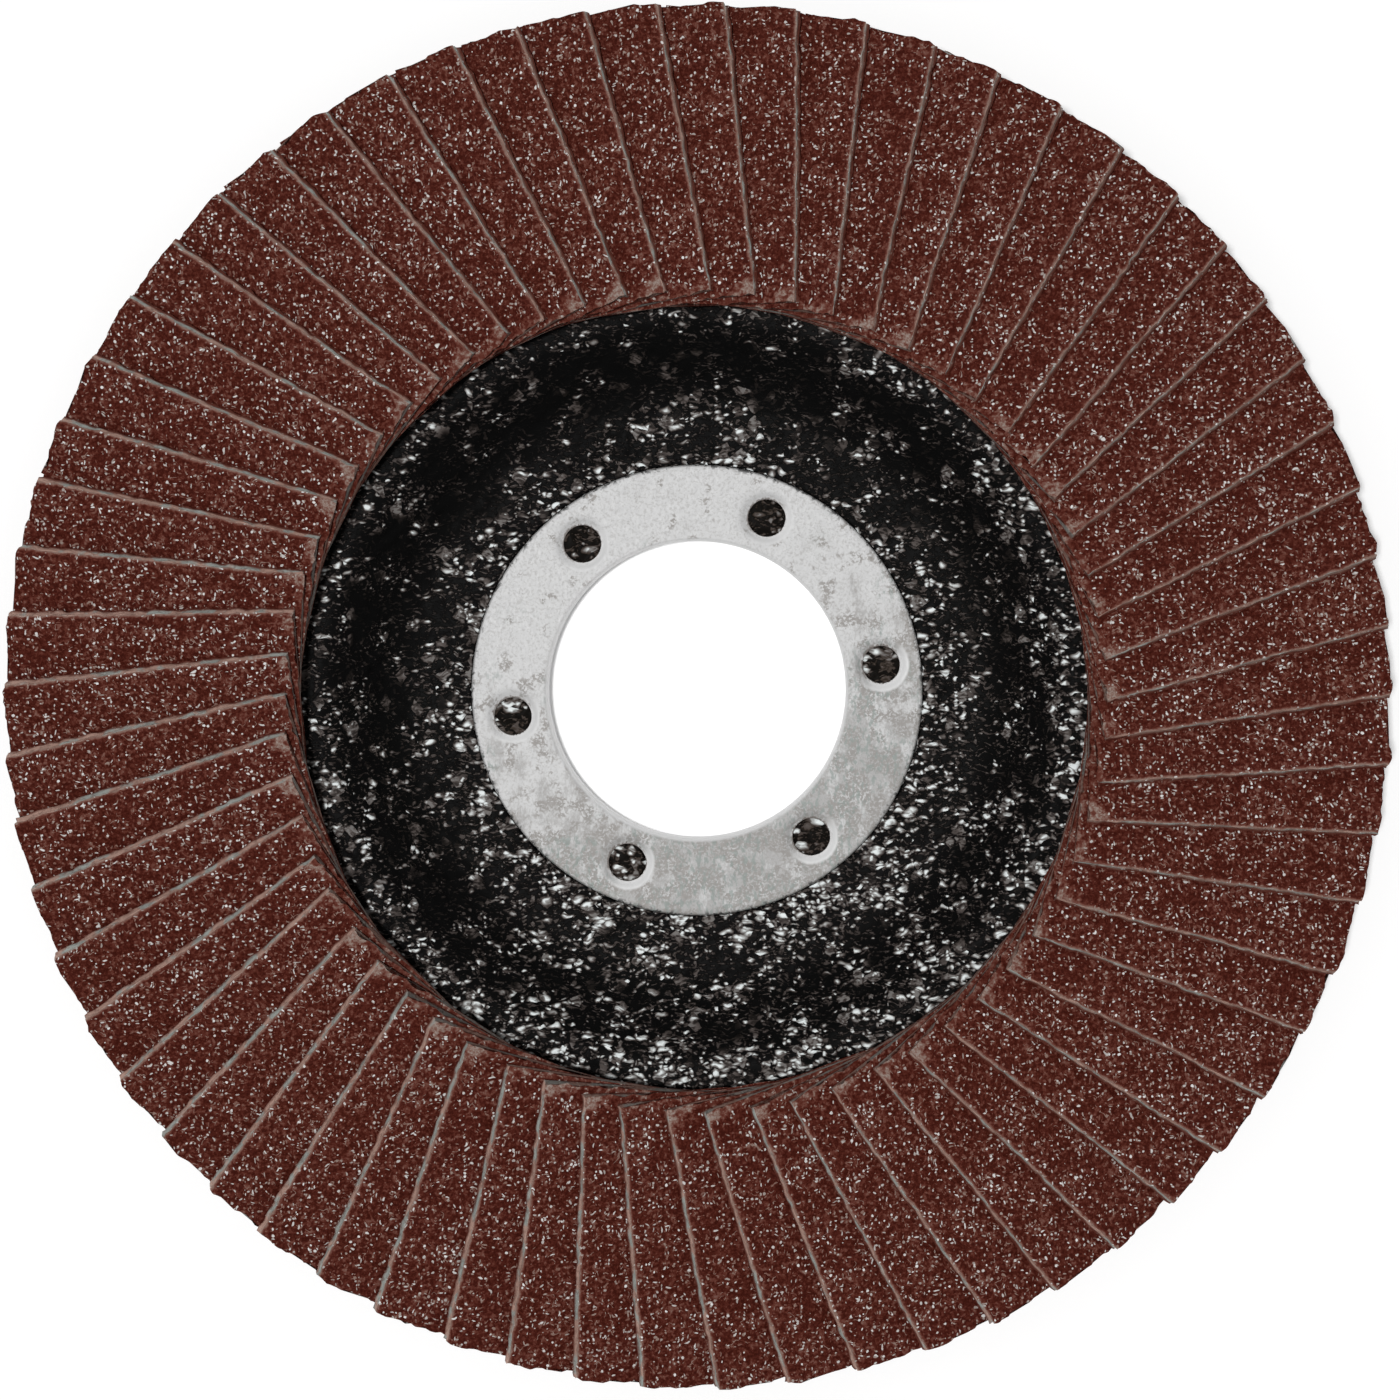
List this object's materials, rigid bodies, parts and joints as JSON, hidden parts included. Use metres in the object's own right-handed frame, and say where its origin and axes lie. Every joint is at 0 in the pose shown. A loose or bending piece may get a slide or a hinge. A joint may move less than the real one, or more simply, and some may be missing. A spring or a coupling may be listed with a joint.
{
  "type": "flap disc",
  "caption": "Conical flap disc for an angle grinder: shingled abrasive cloth flaps on a dished fibre plate with a steel ring in its bore.",
  "frame": {"origin": "on the bore's axis, at the flat back of the hub, which is also the centre of the overall box's underside", "axes": "+Z along the bore's axis and out of the working side, +X and +Y in the plane of the hub's back; the angles of the flaps and the ring's holes are counted from +X"},
  "size_m": [0.1016, 0.1016, 0.013],
  "materials": {
    "abrasive_cloth": "dark red-brown resin over coarse grit, with pale frayed cut edges",
    "fibre_laminate": "black resin over woven glass fibre, with pale flecks",
    "plated_steel": "light grey zinc plating, cloudy and satin",
    "cured_resin": "dark brown, rough cured adhesive"
  },
  "bodies": {
    "root": {"backing_plate": "fibre_laminate", "centre_ring": "plated_steel", "resin_bed": "cured_resin", "flap_pair_01": "abrasive_cloth", "flap_pair_02": "abrasive_cloth", "flap_pair_03": "abrasive_cloth", "flap_pair_04": "abrasive_cloth", "flap_pair_05": "abrasive_cloth", "flap_pair_06": "abrasive_cloth", "flap_pair_07": "abrasive_cloth", "flap_pair_08": "abrasive_cloth", "flap_pair_09": "abrasive_cloth", "flap_pair_10": "abrasive_cloth", "flap_pair_11": "abrasive_cloth", "flap_pair_12": "abrasive_cloth", "flap_pair_13": "abrasive_cloth", "flap_pair_14": "abrasive_cloth", "flap_pair_15": "abrasive_cloth", "flap_pair_16": "abrasive_cloth", "flap_pair_17": "abrasive_cloth", "flap_pair_18": "abrasive_cloth", "flap_pair_19": "abrasive_cloth", "flap_pair_20": "abrasive_cloth", "flap_pair_21": "abrasive_cloth", "flap_pair_22": "abrasive_cloth", "flap_pair_23": "abrasive_cloth", "flap_pair_24": "abrasive_cloth", "flap_pair_25": "abrasive_cloth", "flap_pair_26": "abrasive_cloth", "flap_pair_27": "abrasive_cloth", "flap_pair_28": "abrasive_cloth", "flap_pair_29": "abrasive_cloth", "flap_pair_30": "abrasive_cloth", "flap_pair_31": "abrasive_cloth"}
  },
  "joints": []
}
